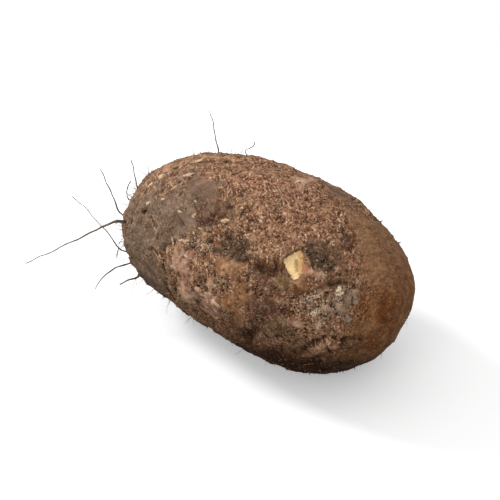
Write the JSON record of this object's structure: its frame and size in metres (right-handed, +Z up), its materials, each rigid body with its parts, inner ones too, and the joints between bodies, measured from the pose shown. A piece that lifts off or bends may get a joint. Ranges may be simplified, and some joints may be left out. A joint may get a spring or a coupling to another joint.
{
  "type": "yam",
  "caption": "Whole unwashed yam tuber lying on its side, rough brown skin with a broken spot, and dried feeder roots around the head.",
  "frame": {"origin": "middle of the flat patch that the tuber lies on", "axes": "+X along the tuber from the head, where the vine grew, to the tail; +Z up; the tuber bows out to +Y"},
  "size_m": [0.1959, 0.1613, 0.1071],
  "materials": {
    "skin": "rough corky skin with dried soil, matte",
    "root": "dried wiry root, matte"
  },
  "bodies": {
    "root": {"tuber": "skin", "root_long": "root", "root_kinked": "root", "root_thin": "root", "root_hanging": "root", "root_brow_tall": "root", "root_brow_short": "root", "root_low_curved": "root", "root_low_stub": "root", "root_top_tall": "root", "root_top_hooked": "root", "root_crown_upper": "root", "root_crown_side": "root", "root_crown_low": "root", "root_back_upper": "root", "root_back_long": "root", "root_back_low": "root", "root_back_middle": "root", "root_back_tail": "root"}
  },
  "joints": []
}
